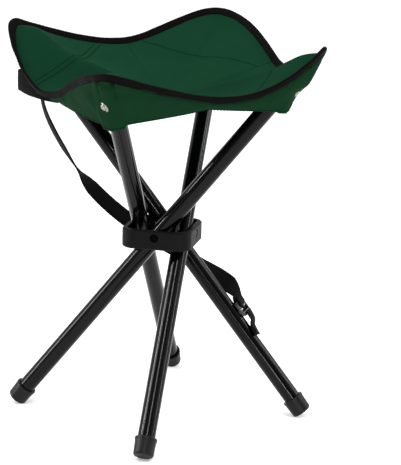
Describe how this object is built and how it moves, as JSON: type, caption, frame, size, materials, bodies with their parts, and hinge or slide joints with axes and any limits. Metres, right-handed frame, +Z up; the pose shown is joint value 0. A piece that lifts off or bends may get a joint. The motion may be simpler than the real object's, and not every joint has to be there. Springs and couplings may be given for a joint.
{
  "type": "folding stool",
  "caption": "Folding camp stool with straight tube legs crossing in a square hub, a square fabric seat on corner pockets and a webbing carry strap.",
  "frame": {"origin": "on the floor, under the hub's axis, the middle of the overall box", "axes": "+Z up along the hub's axis, about which the legs repeat; -Y is the hub wall of the front leg, +X the wall of the right leg"},
  "size_m": [0.2944, 0.2944, 0.3608],
  "materials": {
    "black_tube": "gloss",
    "black_rubber": "satin",
    "green_cloth": "plain weave",
    "black_binding": "ribbed tape",
    "black_webbing": "woven webbing",
    "nickel": "polished",
    "black_plastic": "satin"
  },
  "bodies": {
    "hub": {"hub_ring": "black_plastic", "pivot_rivets": "nickel", "pivot_washers": "black_plastic"},
    "front_leg": {"front_tube": "black_tube", "front_plug": "black_rubber", "front_pocket": "green_cloth", "front_corner_rivet": "nickel", "front_cap": "black_rubber"},
    "right_leg": {"right_tube": "black_tube", "right_plug": "black_rubber", "right_pocket": "green_cloth", "right_corner_rivet": "nickel", "right_cap": "black_rubber"},
    "back_leg": {"back_tube": "black_tube", "back_plug": "black_rubber", "back_pocket": "green_cloth", "back_corner_rivet": "nickel", "back_cap": "black_rubber", "carry_strap": "black_webbing", "strap_slider": "black_plastic", "strap_anchor": "black_webbing"},
    "left_leg": {"left_tube": "black_tube", "left_plug": "black_rubber", "left_pocket": "green_cloth", "left_corner_rivet": "nickel", "left_cap": "black_rubber"},
    "front_seat_ccw": {"front_panel_ccw": "green_cloth", "front_binding_ccw": "black_binding"},
    "front_seat_cw": {"front_panel_cw": "green_cloth", "front_binding_cw": "black_binding"},
    "right_seat_ccw": {"right_panel_ccw": "green_cloth", "right_binding_ccw": "black_binding"},
    "right_seat_cw": {"right_panel_cw": "green_cloth", "right_binding_cw": "black_binding"},
    "back_seat_ccw": {"back_panel_ccw": "green_cloth", "back_binding_ccw": "black_binding", "closure_strap": "black_webbing", "closure_stud": "nickel"},
    "back_seat_cw": {"back_panel_cw": "green_cloth", "back_binding_cw": "black_binding"},
    "left_seat_ccw": {"left_panel_ccw": "green_cloth", "left_binding_ccw": "black_binding"},
    "left_seat_cw": {"left_panel_cw": "green_cloth", "left_binding_cw": "black_binding"}
  },
  "joints": [
    {"name": "front_leg_pivot", "type": "hinge", "parent": "hub", "child": "front_leg", "pos_m": [0, -0.0195, 0.1765], "axis": [0, -1, 0], "range_deg": [0, 36]},
    {"name": "front_seat_ccw_fold", "type": "hinge", "parent": "front_leg", "child": "front_seat_ccw", "pos_m": [0.12734, -0.0195, 0.33716], "axis": [-0.8413, -0.0811, -0.5345], "range_deg": [0, 107.41], "deforming": ["front_panel_ccw", "front_binding_ccw"]},
    {"name": "front_seat_cw_fold", "type": "hinge", "parent": "front_leg", "child": "front_seat_cw", "pos_m": [0.12734, -0.0195, 0.33716], "axis": [-0.5827, -0.7235, -0.3702], "range_deg": [0, 42.33], "deforming": ["front_panel_cw", "front_binding_cw"]},
    {"name": "right_leg_pivot", "type": "hinge", "parent": "hub", "child": "right_leg", "pos_m": [0.0195, 0, 0.1765], "axis": [1, 0, 0], "range_deg": [0, 36]},
    {"name": "right_seat_ccw_fold", "type": "hinge", "parent": "right_leg", "child": "right_seat_ccw", "pos_m": [0.0195, 0.12734, 0.33716], "axis": [0.0527, -0.8429, -0.5355], "range_deg": [0, 114.18], "deforming": ["right_panel_ccw", "right_binding_ccw"]},
    {"name": "right_seat_cw_fold", "type": "hinge", "parent": "right_leg", "child": "right_seat_cw", "pos_m": [0.0195, 0.12734, 0.33716], "axis": [0.8637, -0.4254, -0.2703], "range_deg": [0, 37.7], "deforming": ["right_panel_cw", "right_binding_cw"]},
    {"name": "back_leg_pivot", "type": "hinge", "parent": "hub", "child": "back_leg", "pos_m": [0, 0.0195, 0.1765], "axis": [0, 1, 0], "range_deg": [0, 36]},
    {"name": "back_seat_ccw_fold", "type": "hinge", "parent": "back_leg", "child": "back_seat_ccw", "pos_m": [-0.12734, 0.0195, 0.33716], "axis": [0.836, 0.1379, -0.5311], "range_deg": [0, 95.52], "deforming": ["back_panel_ccw", "back_binding_ccw", "closure_strap"]},
    {"name": "back_seat_cw_fold", "type": "hinge", "parent": "back_leg", "child": "back_seat_cw", "pos_m": [-0.12734, 0.0195, 0.33716], "axis": [0.2762, 0.9449, -0.1755], "range_deg": [0, 35.8], "deforming": ["back_panel_cw", "back_binding_cw"]},
    {"name": "left_leg_pivot", "type": "hinge", "parent": "hub", "child": "left_leg", "pos_m": [-0.0195, 0, 0.1765], "axis": [-1, 0, 0], "range_deg": [0, 36]},
    {"name": "left_seat_ccw_fold", "type": "hinge", "parent": "left_leg", "child": "left_seat_ccw", "pos_m": [-0.0195, -0.12734, 0.33716], "axis": [-0.1253, 0.8374, -0.532], "range_deg": [0, 97.98], "deforming": ["left_panel_ccw", "left_binding_ccw"]},
    {"name": "left_seat_cw_fold", "type": "hinge", "parent": "left_leg", "child": "left_seat_cw", "pos_m": [-0.0195, -0.12734, 0.33716], "axis": [-0.686, 0.6141, -0.3901], "range_deg": [0, 43.84], "deforming": ["left_panel_cw", "left_binding_cw"]}
  ],
  "couplings": [
    {"joint": "front_seat_ccw_fold", "follows": "front_leg_pivot", "ratio": 2.9836},
    {"joint": "front_seat_cw_fold", "follows": "front_leg_pivot", "ratio": 1.1757},
    {"joint": "right_leg_pivot", "follows": "front_leg_pivot", "ratio": 1},
    {"joint": "right_seat_ccw_fold", "follows": "front_leg_pivot", "ratio": 3.1716},
    {"joint": "right_seat_cw_fold", "follows": "front_leg_pivot", "ratio": 1.0473},
    {"joint": "back_leg_pivot", "follows": "front_leg_pivot", "ratio": 1},
    {"joint": "back_seat_ccw_fold", "follows": "front_leg_pivot", "ratio": 2.6533},
    {"joint": "back_seat_cw_fold", "follows": "front_leg_pivot", "ratio": 0.99449},
    {"joint": "left_leg_pivot", "follows": "front_leg_pivot", "ratio": 1},
    {"joint": "left_seat_ccw_fold", "follows": "front_leg_pivot", "ratio": 2.7216},
    {"joint": "left_seat_cw_fold", "follows": "front_leg_pivot", "ratio": 1.2179}
  ]
}
